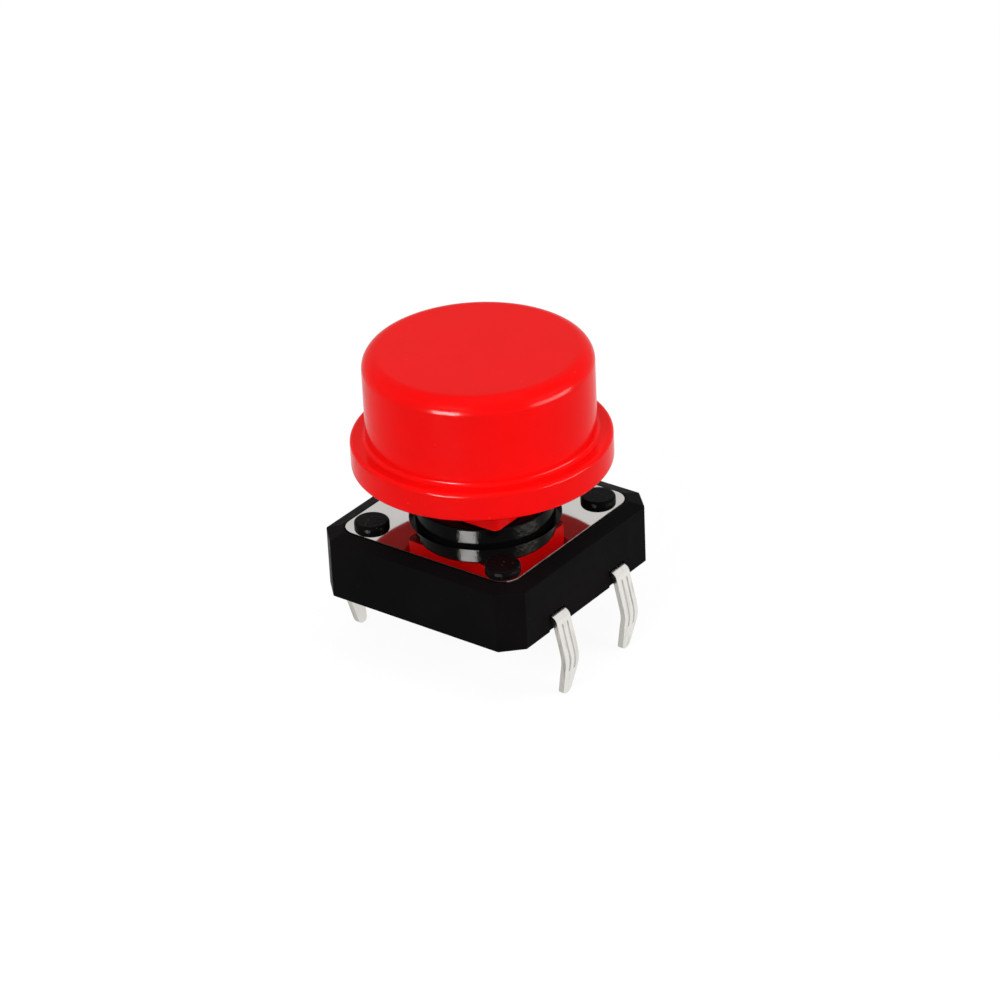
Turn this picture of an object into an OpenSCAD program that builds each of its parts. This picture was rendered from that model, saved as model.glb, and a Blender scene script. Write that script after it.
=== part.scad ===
// Tactile push button switch with a round push-on cap, for through-hole boards.
// Millimetres. The board face is z = 0 and the button's axis is Z.
// The legs stand in two rows, along +X and -X.

/* [Housing] */
// Side of the square housing
body_w = 12; // [11.8:0.1:12.4]
// Chamfer on each upright corner
corner_cut = 1; // [0.6:0.1:1.2]
// Height of the upright side walls
wall_h = 3.1; // [3:0.1:4]
// Width of the slope around the cover plate
rim_slope_w = 0.7; // [0.4:0.1:0.7]
// Rise of that slope
rim_rise = 0.2; // [0.1:0.05:0.3]
// Thickness of the floor under the dome
floor_h = 1.05; // [1:0.05:1.2]
// Distance of each staked peg's axis from the plate's edges
peg_inset = 1.19; // [1.1:0.01:1.3]
// Wall of the post around each peg, where the inner chamber comes close
peg_wall = 0.24; // [0.2:0.02:0.3]
// Diameter of a peg's shank
peg_d = 1.3; // [1:0.1:1.4]
// Diameter of a peg's flattened head
peg_head_d = 1.75; // [1.6:0.05:1.9]
// Height of a peg's flattened head
peg_head_h = 0.28; // [0.2:0.02:0.36]
// Rounding of a peg's head
peg_head_r = 0.12; // [0.05:0.01:0.18]

/* [Cover plate] */
// Side of the square plate
plate_w = 10.3; // [10:0.1:10.4]
// Thickness of the plate
plate_t = 0.3; // [0.2:0.05:0.4]
// Corner radius of the plate
plate_r = 0.9; // [0.5:0.1:1]
// How far the plate stands above the rim
plate_proud = 0.05; // [0:0.01:0.1]

/* [Plunger] */
// Diameter of the round collar
collar_d = 6.9; // [6.5:0.1:7.1]
// Height of the collar above the plate
collar_h = 0.95; // [0.7:0.05:1.2]
// Rounding of the collar's upper edge
collar_r = 0.12; // [0.05:0.01:0.2]
// Side of the square stem
stem_w = 3.8; // [3.4:0.1:4]
// Corner radius of the square stem
stem_r = 0.25; // [0.1:0.05:0.4]
// Height of the stem's top above the board
stem_top = 7.3; // [7:0.1:9]
// How far the retaining flange reaches under the plate
flange_lap = 0.55; // [0.4:0.05:0.6]
// Thickness of the retaining flange
flange_t = 0.8; // [0.6:0.1:1]
// Width of each guide lug
lug_w = 1.6; // [1.2:0.1:2]
// How far each guide lug reaches past the chamber wall
lug_reach = 0.3; // [0.2:0.05:0.4]
// Diameter of the nose that presses the dome
nose_d = 2; // [1.5:0.1:2.5]

/* [Key cap] */
// Diameter of the cap's flange
cap_flange_d = 12.8; // [12:0.1:13.5]
// Height of the cap's flange
cap_flange_h = 1.5; // [1.2:0.1:2]
// Rounding of the flange's edges
cap_flange_r = 0.2; // [0.1:0.05:0.4]
// Diameter of the cap's button
cap_d = 11.25; // [10.5:0.05:11.6]
// Whole height of the cap above its rim's underside
cap_h = 6; // [5:0.1:7]
// Rounding of the button's upper edge
cap_edge_r = 0.8; // [0.4:0.1:1]
// Fillet between flange and button
cap_neck_r = 0.2; // [0.1:0.05:0.3]
// Wall of the hollow cap
cap_wall = 1.1; // [0.8:0.1:1.4]
// How far the stem rises above the flange's underside
cap_seat = 0.95; // [0.7:0.05:1.5]
// Side of the square socket, outside
socket_w = 5.6; // [5:0.1:6]
// Corner radius of the socket, outside
socket_r = 0.3; // [0.2:0.1:0.8]
// Thickness of the ribs that carry the socket
rib_t = 0.8; // [0.6:0.1:1]
// Depth of the ribs below the cap's roof
rib_h = 2.6; // [1.5:0.1:3]

/* [Contacts] */
// Travel of the button
travel = 0.3; // [0.2:0.05:0.4]
// Diameter of the snap dome
dome_d = 8; // [7.6:0.1:8.2]
// Height of the snap dome
dome_h = 0.62; // [0.56:0.02:0.7]
// Thickness of the snap dome
dome_t = 0.12; // [0.08:0.01:0.14]
// Diameter of the fixed contacts
contact_d = 1.1; // [0.8:0.1:1.2]

/* [Terminals] */
// Distance between the two rows of legs
row_pitch = 12.5; // [12.4:0.1:12.8]
// Distance between the legs of one row
leg_pitch = 5; // [4.8:0.1:5.2]
// Thickness of the stamped strip
strip_t = 0.3; // [0.2:0.05:0.35]
// Height of the strip's middle above the board
strip_z = 0.72; // [0.68:0.02:0.74]
// Width of a leg
leg_w = 1.1; // [0.9:0.05:1.2]
// Length of the legs below the board face
leg_len = 3.6; // [3:0.1:4]
// Lean of a leg's two straight runs, out and back
leg_lean = 13; // [9:1:15]
// Middle radius of the kink between those runs
kink_r = 2; // [0.8:0.1:2.5]
// Middle radius of the bend outside the housing
bend_r = 0.28; // [0.24:0.02:0.4]
// Width of a leg's rounded tip
tip_w = 0.72; // [0.4:0.02:0.8]
// Length of the taper to the tip
tip_taper = 1.6; // [0.6:0.1:1.8]
// Width of each of the two coined grooves on a leg
groove_w = 0.12; // [0.1:0.02:0.24]
// Distance between the two grooves
groove_pitch = 0.4; // [0.36:0.02:0.6]
// Depth of the coined grooves
groove_d = 0.03; // [0.02:0.01:0.08]

/* [Fits] */
// Gap around the plate in its seat
plate_gap = 0.05; // [0.03:0.01:0.1]
// Gap around a peg's shank in the plate
peg_gap = 0.05; // [0.03:0.01:0.08]
// Gap between the plunger and what guides it
slide_gap = 0.05; // [0.03:0.01:0.1]
// Gap around the collar in the plate's window
window_gap = 0.3; // [0.2:0.05:0.4]
// Gap around the wider of flange and dome in the chamber, and to the peg posts
chamber_gap = 0.4; // [0.3:0.05:0.45]
// Gap between the stem and the cap's socket
push_gap = 0.02; // [0.01:0.01:0.05]
// Gap between the cap's socket and the collar
socket_gap = 0.1; // [0.05:0.05:0.3]
// Contact gap that is left when the button is fully down
contact_gap = 0.04; // [0.02:0.01:0.06]
// Gap around a leg where it leaves the housing
exit_gap = 0.06; // [0.05:0.01:0.25]

/* [Hidden] */
$fn = 96;
// Steps of the dome's large thin circles
dome_fn = 960;

black = [0.09, 0.09, 0.09];
red = [0.9, 0.1, 0.1];
steel = [0.82, 0.83, 0.84];
tinned = [0.9, 0.9, 0.88];
bronze = [0.72, 0.6, 0.42];

// Length that carries a cutting tool past the face that it cuts
past = 1;
rim_top = wall_h + rim_rise;
plate_top = rim_top + plate_proud;
seat_z = plate_top - plate_t;
corner_dist = (body_w - corner_cut) / sqrt(2);

window_d = collar_d + 2 * window_gap;
flange_d = window_d + 2 * flange_lap;
chamber_d = max(flange_d, dome_d) + 2 * chamber_gap;
// The pegs stand in the plate's corners, clear of the dome
post_d = peg_d + 2 * peg_wall;
post_ring_r = dome_d / 2 + chamber_gap + post_d / 2;
peg_at = max(plate_w / 2 - peg_inset, post_ring_r / sqrt(2));

flange_top = seat_z - slide_gap;
flange_bottom = flange_top - flange_t;
collar_top = plate_top + collar_h;
lug_end = chamber_d / 2 + lug_reach;
slot_z = flange_bottom - travel - slide_gap;

cap_bottom = stem_top - cap_seat;
cap_top = cap_bottom + cap_h;
socket_bottom = collar_top + socket_gap;
roof_z = cap_top - cap_wall;
cap_bore_d = cap_d - 2 * cap_wall;

dome_top = floor_h + dome_h;
dome_ball_r = (dome_d * dome_d / 4 + dome_h * dome_h) / (2 * dome_h);
centre_contact_top = dome_top - dome_t - travel - contact_gap;
dome_rim_r = (dome_d - dome_t) / 2;
outer_contact_x = sqrt(dome_rim_r * dome_rim_r - leg_pitch * leg_pitch / 4);

// A leg bends down, runs out from the row's line, turns in a kink and runs back to it
bend_x = row_pitch / 2 - bend_r * cos(leg_lean);
bend_z = strip_z - bend_r;
run_top = bend_z + bend_r * sin(leg_lean);
kink_z = (run_top - leg_len) / 2;
run_len = (run_top - kink_z) / cos(leg_lean) - kink_r * tan(leg_lean);
strip_top = strip_z + strip_t / 2;
strip_bottom = strip_z - strip_t / 2;

// Square with true round corners
module rounded_square(w, r) {
  square([w - 2 * r, w], center = true);
  square([w, w - 2 * r], center = true);
  for (sx = [-1, 1], sy = [-1, 1])
    translate([sx * (w / 2 - r), sy * (w / 2 - r)])
      circle(r);
}

// Half section of a disc, from the axis to radius r, with round outer edges
module disc_section(r, z0, z1, low_r, high_r) {
  difference() {
    translate([0, z0])
      square([r, z1 - z0]);
    if (low_r > 0)
      edge_cut(r, z0, low_r, 1);
    if (high_r > 0)
      edge_cut(r, z1, high_r, -1);
  }
}

// Corner waste that leaves a round edge at radius r and height z; up is 1 or -1
module edge_cut(r, z, edge_r, up) {
  translate([r, z])
    scale([1, up])
      difference() {
        translate([-edge_r, -past])
          square([edge_r + past, edge_r + past]);
        translate([-edge_r, edge_r])
          circle(edge_r);
      }
}

// Square outline of the housing with its four chamfers
module housing_outline() {
  intersection() {
    square(body_w, center = true);
    rotate(45)
      square((body_w - corner_cut) * sqrt(2), center = true);
  }
}

// Waste above the sloping rim on one side, whose wall stands at dist
module rim_waste(dist) {
  rotate([90, 0, 0])
    linear_extrude(2 * body_w, center = true)
      polygon([
        [dist - rim_slope_w, rim_top],
        [dist + past, wall_h - past * rim_rise / rim_slope_w],
        [dist + past, rim_top + past],
        [dist - rim_slope_w, rim_top + past]
      ]);
}

module at_pegs() {
  for (sx = [-1, 1], sy = [-1, 1])
    translate([sx * peg_at, sy * peg_at])
      children();
}

// Disc that stays clear of the peg posts by gap
module clear_disc(d, gap) {
  difference() {
    circle(d = d);
    at_pegs()
      circle(d = post_d + 2 * gap);
  }
}

// A copy on each side, turned about the button's axis
module on_both_sides() {
  for (turn = [0, 180])
    rotate(turn)
      children();
}

// Shank through the plate, and the head that was flattened over it
module peg() {
  translate([0, 0, seat_z - past])
    cylinder(d = peg_d, h = plate_t + past);
  rotate_extrude()
    disc_section(peg_head_d / 2, plate_top, plate_top + peg_head_h, 0, peg_head_r);
}

// Recess in the wall around one leg
module leg_exit(y) {
  width = leg_w + 2 * exit_gap;
  translate([bend_x - exit_gap, y - width / 2, -past])
    cube([body_w, width, strip_top + exit_gap + past]);
}

module base() {
  color(black) {
    difference() {
      linear_extrude(rim_top)
        housing_outline();
      for (side = [0 : 3]) {
        rotate(90 * side)
          rim_waste(body_w / 2);
        rotate(90 * side + 45)
          rim_waste(corner_dist);
      }
      translate([0, 0, seat_z])
        linear_extrude(rim_top)
          rounded_square(plate_w + 2 * plate_gap, plate_r + plate_gap);
      translate([0, 0, floor_h])
        linear_extrude(seat_z - floor_h)
          clear_disc(chamber_d, 0);
      on_both_sides()
        translate([0, -lug_w / 2 - slide_gap, slot_z])
          cube([lug_end + slide_gap, lug_w + 2 * slide_gap, seat_z - slot_z]);
      on_both_sides() {
        leg_exit(leg_pitch / 2);
        leg_exit(-leg_pitch / 2);
      }
      common_blank();
      switched_blank();
    }
    at_pegs()
      peg();
  }
}

module cover_plate() {
  color(steel)
    translate([0, 0, seat_z])
      linear_extrude(plate_t)
        difference() {
          rounded_square(plate_w, plate_r);
          circle(d = window_d);
          at_pegs()
            circle(d = peg_d + 2 * peg_gap);
        }
}

module plunger() {
  color(black) {
    rotate_extrude()
      disc_section(collar_d / 2, flange_top, collar_top, 0, collar_r);
    translate([0, 0, flange_bottom]) {
      linear_extrude(flange_t)
        clear_disc(flange_d, chamber_gap);
      translate([-lug_end + slide_gap, -lug_w / 2, 0])
        cube([2 * (lug_end - slide_gap), lug_w, flange_t]);
    }
    translate([0, 0, dome_top])
      cylinder(d = nose_d, h = flange_bottom - dome_top);
    translate([0, 0, flange_top])
      linear_extrude(stem_top - flange_top)
        rounded_square(stem_w, stem_r);
  }
}

// Outer half section of the cap: button, flange and the fillet between them
module cap_section() {
  neck_z = cap_bottom + cap_flange_h;
  disc_section(cap_d / 2, cap_bottom, cap_top, 0, cap_edge_r);
  disc_section(cap_flange_d / 2, cap_bottom, neck_z, cap_flange_r, cap_flange_r);
  translate([cap_d / 2, neck_z])
    difference() {
      translate([-past, -cap_flange_r])
        square([cap_neck_r + past, cap_neck_r + cap_flange_r]);
      translate([cap_neck_r, cap_neck_r])
        circle(cap_neck_r);
    }
}

module key_cap() {
  color(red)
    difference() {
      union() {
        rotate_extrude()
          difference() {
            cap_section();
            translate([0, cap_bottom - past])
              square([cap_bore_d / 2, roof_z - cap_bottom + past]);
          }
        translate([0, 0, socket_bottom])
          linear_extrude(cap_top - cap_wall / 2 - socket_bottom)
            rounded_square(socket_w, socket_r);
        for (turn = [0, 90])
          rotate(turn)
            translate([-cap_d / 2 + cap_wall / 2, -rib_t / 2, roof_z - rib_h])
              cube([cap_d - cap_wall, rib_t, rib_h + cap_wall / 2]);
      }
      translate([0, 0, socket_bottom - past])
        linear_extrude(stem_top - socket_bottom + past)
          rounded_square(stem_w + 2 * push_gap, stem_r + push_gap);
    }
}

module contact_dome() {
  color(bronze)
    rotate_extrude()
      intersection() {
        translate([0, dome_top - dome_ball_r])
          difference() {
            circle(dome_ball_r, $fn = dome_fn);
            circle(dome_ball_r - dome_t, $fn = dome_fn);
          }
        translate([0, floor_h])
          square([dome_d, dome_h + past]);
      }
}

// Part of a flat ring, up to a quarter: middle radius r, thickness t, from angle a0 to a1
module ring_part(r, t, a0, a1) {
  reach = 2 * (r + t);
  intersection() {
    difference() {
      circle(r + t / 2);
      circle(r - t / 2);
    }
    rotate(a0)
      square(reach);
    rotate(a1)
      translate([0, -reach])
        square(reach);
  }
}

// Side view of a leg's upper run and kink about the bend's centre; shift moves them outwards
module upper_leg(shift) {
  rotate(leg_lean) {
    translate([bend_r + shift - strip_t / 2, -run_len])
      square([strip_t, run_len]);
    translate([bend_r - kink_r, -run_len])
      ring_part(kink_r + shift, strip_t, -2 * leg_lean, 0);
  }
}

// Side view of a whole leg about the bend's centre
module leg_side_view() {
  ring_part(bend_r, strip_t, leg_lean, 90);
  upper_leg(0);
  rotate(leg_lean)
    translate([bend_r - kink_r, -run_len])
      rotate(-2 * leg_lean)
        translate([kink_r - strip_t / 2, -run_len - strip_t])
          square([strip_t, run_len + strip_t]);
}

// Stands a leg's side view up at the +X row, w wide
module stand_leg(w) {
  rotate([90, 0, 0])
    linear_extrude(w, center = true)
      translate([bend_x, bend_z])
        children();
}

// Front view of a leg: straight sides, a taper and a round tip
module leg_front_view() {
  shoulder = tip_taper - leg_len;
  tip_middle = tip_w / 2 - leg_len;
  polygon([
    [-leg_w / 2, shoulder],
    [-tip_w / 2, tip_middle],
    [tip_w / 2, tip_middle],
    [leg_w / 2, shoulder]
  ]);
  translate([0, tip_middle])
    circle(d = tip_w);
  translate([-leg_w / 2, shoulder])
    square([leg_w, strip_top + past - shoulder]);
}

// One +X leg with its coined grooves, in the plane y = 0
module leg() {
  difference() {
    intersection() {
      stand_leg(leg_w)
        leg_side_view();
      rotate([90, 0, 90])
        linear_extrude(row_pitch)
          leg_front_view();
    }
    for (sy = [-1, 1])
      translate([0, sy * groove_pitch / 2, 0])
        stand_leg(groove_w)
          upper_leg(strip_t - groove_d);
  }
}

// The +X half and its mirror image at -X
module mirrored_x() {
  for (side = [0, 1])
    mirror([side, 0, 0])
      children();
}

// Flat blank of a strip inside the housing, from bend to bend
module strip_blank(y) {
  mirrored_x()
    translate([0, y - leg_w / 2, strip_bottom])
      cube([bend_x, leg_w, strip_t]);
}

// Blank of the strip that carries the centre contact
module common_blank() {
  strip_blank(leg_pitch / 2);
  translate([-contact_d / 2, 0, strip_bottom])
    cube([contact_d, leg_pitch / 2, strip_t]);
  translate([0, 0, strip_bottom])
    cylinder(d = contact_d, h = centre_contact_top - strip_bottom);
}

// Blank of the strip that carries the two outer contacts
module switched_blank() {
  strip_blank(-leg_pitch / 2);
  for (sx = [-1, 1])
    translate([sx * outer_contact_x, -leg_pitch / 2, strip_bottom])
      cylinder(d = contact_d, h = floor_h - strip_bottom);
}

module leg_pair(y) {
  mirrored_x()
    translate([0, y, 0])
      leg();
}

module common_strip() {
  color(tinned) {
    common_blank();
    leg_pair(leg_pitch / 2);
  }
}

module switched_strip() {
  color(tinned) {
    switched_blank();
    leg_pair(-leg_pitch / 2);
  }
}

base();
cover_plate();
plunger();
key_cap();
contact_dome();
common_strip();
switched_strip();
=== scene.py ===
"""Looks of a tactile push button switch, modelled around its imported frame.

Meshes are modelled in millimetres and brought to metres when a piece is made.
"""

import logging
import math
from dataclasses import dataclass
from enum import Enum
from typing import Callable, Iterable, Sequence

import bmesh
import bpy
from bmesh.types import BMEdge, BMFace, BMVert, BMesh
from bpy.types import ID, Material, Mesh, Node, NodeSocket, NodeTree, Object
from mathutils import Matrix, Vector


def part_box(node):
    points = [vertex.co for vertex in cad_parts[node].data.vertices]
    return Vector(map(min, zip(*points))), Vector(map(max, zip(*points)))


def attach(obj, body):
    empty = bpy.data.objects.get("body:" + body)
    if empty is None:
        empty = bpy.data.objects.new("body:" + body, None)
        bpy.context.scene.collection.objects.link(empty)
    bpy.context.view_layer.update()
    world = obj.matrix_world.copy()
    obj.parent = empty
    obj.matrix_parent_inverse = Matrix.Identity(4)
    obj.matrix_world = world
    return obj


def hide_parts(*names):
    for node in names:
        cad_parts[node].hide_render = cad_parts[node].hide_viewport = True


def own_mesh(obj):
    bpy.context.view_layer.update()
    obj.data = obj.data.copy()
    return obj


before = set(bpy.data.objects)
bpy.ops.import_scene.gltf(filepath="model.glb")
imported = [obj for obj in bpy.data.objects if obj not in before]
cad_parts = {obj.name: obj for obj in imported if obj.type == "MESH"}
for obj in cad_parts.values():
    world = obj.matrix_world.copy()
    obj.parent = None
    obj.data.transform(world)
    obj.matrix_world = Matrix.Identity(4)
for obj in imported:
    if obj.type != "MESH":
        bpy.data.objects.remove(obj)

MM = 0.001
# Distances within which points merge, lie on one ring or lie on one skin
MERGE_MM = 0.0005
NEAR_MM = 0.002
SKIN_MM = 0.005
TURN_SLACK = 1e-4
# Least height of the normal of a level face and of one that faces up
LEVEL = 0.999
FACE_UP = 0.9
SIGNS = (1, -1)
# Ray depths that part no bounce from one, and one bounce from two
FIRST_BOUNCE = 0.5
SECOND_BOUNCE = 1.5
Triple = tuple[float, float, float]
Colour = Triple
LOG = logging.getLogger("switch")


class Body(Enum):
    """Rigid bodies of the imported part."""

    HOUSING = "housing"
    BUTTON = "button"


class Axis(Enum):
    """Directions that a mesh is spun or moved along."""

    X = (1.0, 0.0, 0.0)
    Y = (0.0, 1.0, 0.0)
    Z = (0.0, 0.0, 1.0)

    @property
    def vector(self) -> Vector:
        """The direction as a vector."""
        return Vector(self.value)

    @property
    def index(self) -> int:
        """The direction's place among a vector's numbers."""
        return "XYZ".index(self.name)


class Lamp(Enum):
    """What a lamp does: it lights dull surfaces, or shows in gloss, or in gloss seen in gloss."""

    LIGHT = "light"
    GLINT = "glint"
    INNER_GLINT = "inner_glint"


# Frame and scene

def node_box(node: str) -> tuple[Vector, Vector]:
    """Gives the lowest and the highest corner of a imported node, in millimetres."""
    low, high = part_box(node)
    return low / MM, high / MM


def linked(name: str, data: ID) -> Object:
    """Makes an object around a mesh, a camera or a lamp and links it to the scene."""
    made = bpy.data.objects.new(name, data)
    bpy.context.scene.collection.objects.link(made)
    return made


# Mesh operators

def verts_of(geom: Iterable) -> list[BMVert]:
    """Picks the vertices out of an operator's result."""
    return [item for item in geom if isinstance(item, BMVert)]


def faces_of(geom: Iterable) -> list[BMFace]:
    """Picks the faces out of an operator's result."""
    return [item for item in geom if isinstance(item, BMFace)]


def loop_edges(verts: Sequence[BMVert]) -> list[BMEdge]:
    """Gives the edges that run between the given vertices, in the same order each time."""
    chosen = set(verts)
    found = dict.fromkeys(edge for vert in verts for edge in vert.link_edges)
    return [edge for edge in found if set(edge.verts) <= chosen]


def whole(bm: BMesh) -> list:
    """Gives all vertices, edges and faces of a mesh."""
    return bm.verts[:] + bm.edges[:] + bm.faces[:]


def up(height: float) -> Vector:
    """Gives a move straight up, or down where the height is negative."""
    return Vector((0.0, 0.0, height))


def merge(bm: BMesh) -> None:
    """Merges doubles, drops what they leave flat and turns the faces outwards."""
    bmesh.ops.remove_doubles(bm, verts=bm.verts[:], dist=MERGE_MM)
    bmesh.ops.dissolve_degenerate(bm, dist=MERGE_MM, edges=bm.edges[:])
    bmesh.ops.recalc_face_normals(bm, faces=bm.faces[:])


def circle(bm: BMesh, radius: float, steps: int, place: Vector) -> list[BMVert]:
    """Adds an open level circle about a centre and gives its vertices."""
    made = bmesh.ops.create_circle(
        bm, cap_ends=False, segments=steps, radius=radius,
        matrix=Matrix.Translation(place),
    )
    return made["verts"]


def corner_circles(
    bm: BMesh, radius: float, steps: int, away: float, height: float
) -> list[list[BMVert]]:
    """Adds an open level circle in each corner, at the same distance both ways."""
    return [
        circle(bm, radius, steps, Vector((sx * away, sy * away, height)))
        for sx in SIGNS for sy in SIGNS
    ]


def round_corners(bm: BMesh, corners: Sequence[BMVert], radius: float, steps: int) -> None:
    """Rounds the corners of a face."""
    bmesh.ops.bevel(
        bm, geom=corners, offset=radius, offset_type="OFFSET", segments=steps,
        profile=0.5, affect="VERTICES", material=-1,
    )


def round_square(bm: BMesh, half: float, radius: float, steps: int, height: float) -> BMFace:
    """Adds a level square face with round or, at one step, cut corners.

    Args:
        bm: Mesh that takes the face.
        half: Half of the square's side.
        radius: Radius of the corners.
        steps: Steps in each corner.
        height: Height of the face.

    Returns:
        The face.
    """
    made = bmesh.ops.create_grid(
        bm, x_segments=1, y_segments=1, size=half, matrix=Matrix.Translation(up(height))
    )
    round_corners(bm, made["verts"], radius, steps)
    level = [face for face in bm.faces if abs(face.calc_center_median().z - height) < MERGE_MM]
    return max(level, key=lambda face: face.calc_area())


def squared(half: float, radius: float) -> Callable:
    """Gives a shaping step that moves a circle onto a square with round corners.

    Args:
        half: Half of the square's side.
        radius: Radius of its corners.

    Returns:
        A function that moves the vertices it is given.
    """
    inner = half - radius
    middle = Vector((inner, inner))

    def shape(verts: Iterable[BMVert]) -> None:
        for vert in verts:
            flat = Vector((vert.co.x, vert.co.y)).normalized()
            across = Vector((abs(flat.x), abs(flat.y)))
            reach = half / max(across)
            if min(across * reach) > inner:
                along = middle.dot(across)
                reach = along + math.sqrt(along * along - middle.length_squared + radius * radius)
            vert.co.x, vert.co.y = flat * reach
    return shape


def drawn_on(
    bm: BMesh, verts: Sequence[BMVert], move: Vector = Vector(), shape: Callable | None = None
) -> list[BMVert]:
    """Extrudes an open loop of vertices into a band.

    Args:
        bm: Mesh that holds the loop.
        verts: Vertices of the loop.
        move: How far the new loop lies from the old one.
        shape: What else is done to the new vertices, if anything.

    Returns:
        The vertices of the new loop.
    """
    made = bmesh.ops.extrude_edge_only(bm, edges=loop_edges(verts))
    fresh = verts_of(made["geom"])
    bmesh.ops.translate(bm, verts=fresh, vec=move)
    if shape is not None:
        shape(fresh)
    return fresh


def resized(bm: BMesh, centre: Vector, factor: float) -> Callable:
    """Gives a shaping step that scales a level loop about a centre."""
    def shape(verts: list[BMVert]) -> None:
        bmesh.ops.scale(
            bm, verts=verts, vec=(factor, factor, 1.0), space=Matrix.Translation(-centre)
        )
    return shape


def drawn_to(bm: BMesh, faces: Sequence[BMFace], axis: Axis, level: float) -> None:
    """Extrudes faces until they lie at a level, and drops the ones left inside.

    Args:
        bm: Mesh that holds the faces.
        faces: Faces to extrude.
        axis: Direction that they are drawn along.
        level: Where they end on that axis.
    """
    made = bmesh.ops.extrude_face_region(bm, geom=faces)
    for vert in verts_of(made["geom"]):
        vert.co[axis.index] = level
    bmesh.ops.delete(bm, geom=[face for face in faces if face.is_valid], context="FACES")


def cut_at(bm: BMesh, axis: Axis, distance: float) -> None:
    """Cuts the mesh's faces along a plane across an axis, at a distance on it."""
    bmesh.ops.bisect_plane(
        bm, geom=whole(bm), plane_co=axis.vector * distance, plane_no=axis.value, dist=MERGE_MM
    )


def opened(bm: BMesh, face: BMFace) -> list[BMVert]:
    """Takes a face out and gives the loop around it."""
    loop = list(face.verts)
    bmesh.ops.delete(bm, geom=[face], context="FACES_ONLY")
    return loop


def fill_loop(bm: BMesh, verts: Sequence[BMVert]) -> list[BMFace]:
    """Closes a loop with a face."""
    made = bmesh.ops.edgeloop_fill(bm, edges=loop_edges(verts))
    return made["faces"]


def fill_between(bm: BMesh, *loops: Sequence[BMVert]) -> list[BMFace]:
    """Fills the level space between an outer loop and the holes in it."""
    edges = [edge for loop in loops for edge in loop_edges(loop)]
    made = bmesh.ops.triangle_fill(bm, use_beauty=True, use_dissolve=False, edges=edges)
    return faces_of(made["geom"])


def spun(bm: BMesh, outline: Sequence[tuple[float, float]], steps: int) -> None:
    """Spins an open half section about the button's axis.

    Args:
        bm: Mesh that takes the turned surface.
        outline: Radius and height of each corner, in order.
        steps: Steps in the full turn.
    """
    corners = [bm.verts.new((radius, 0.0, height)) for radius, height in outline]
    sides = [bm.edges.new(pair) for pair in zip(corners, corners[1:])]
    bmesh.ops.spin(
        bm, geom=corners + sides, cent=(0.0, 0.0, 0.0), axis=Axis.Z.value,
        angle=math.tau, steps=steps, use_merge=True, use_duplicate=False,
    )
    merge(bm)


def rings_at(bm: BMesh, radius: float, height: float) -> list[BMEdge]:
    """Finds the edges of the ring with that radius and height."""
    def on_ring(vert: BMVert) -> bool:
        across = math.hypot(vert.co.x, vert.co.y)
        return abs(across - radius) < NEAR_MM and abs(vert.co.z - height) < NEAR_MM
    return [edge for edge in bm.edges if all(on_ring(vert) for vert in edge.verts)]


def ring_verts(bm: BMesh, radius: float, height: float) -> list[BMVert]:
    """Finds the vertices of the ring with that radius and height."""
    edges = rings_at(bm, radius, height)
    return list(dict.fromkeys(vert for edge in edges for vert in edge.verts))


def bevel_edges(bm: BMesh, edges: Iterable[BMEdge], width: float, steps: int) -> None:
    """Rounds edges by a width, in a number of steps."""
    bmesh.ops.bevel(
        bm, geom=list(edges), offset=width, offset_type="OFFSET", segments=steps,
        profile=0.5, affect="EDGES", clamp_overlap=True, material=-1,
    )


def sharp_edges(bm: BMesh, keep: Callable[[BMEdge], bool], angle: float = 12.0) -> list[BMEdge]:
    """Finds the edges that fold by more than an angle in degrees and pass a test."""
    return [
        edge for edge in bm.edges
        if edge.is_manifold and edge.calc_face_angle(0.0) > math.radians(angle) and keep(edge)
    ]


# Materials

def worked(
    tree: NodeTree, operation: str, *values: NodeSocket | float, clamp: bool = False
) -> NodeSocket:
    """Adds a math node.

    Args:
        tree: Nodes that take it.
        operation: What it works out.
        values: Its inputs, as sockets or as numbers.
        clamp: Whether the result is held between 0 and 1.

    Returns:
        The result's socket.
    """
    made = tree.nodes.new("ShaderNodeMath")
    made.operation, made.use_clamp = operation, clamp
    for socket, value in zip(made.inputs, values):
        if isinstance(value, NodeSocket):
            tree.links.new(value, socket)
        else:
            socket.default_value = value
    return made.outputs[0]


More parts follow.
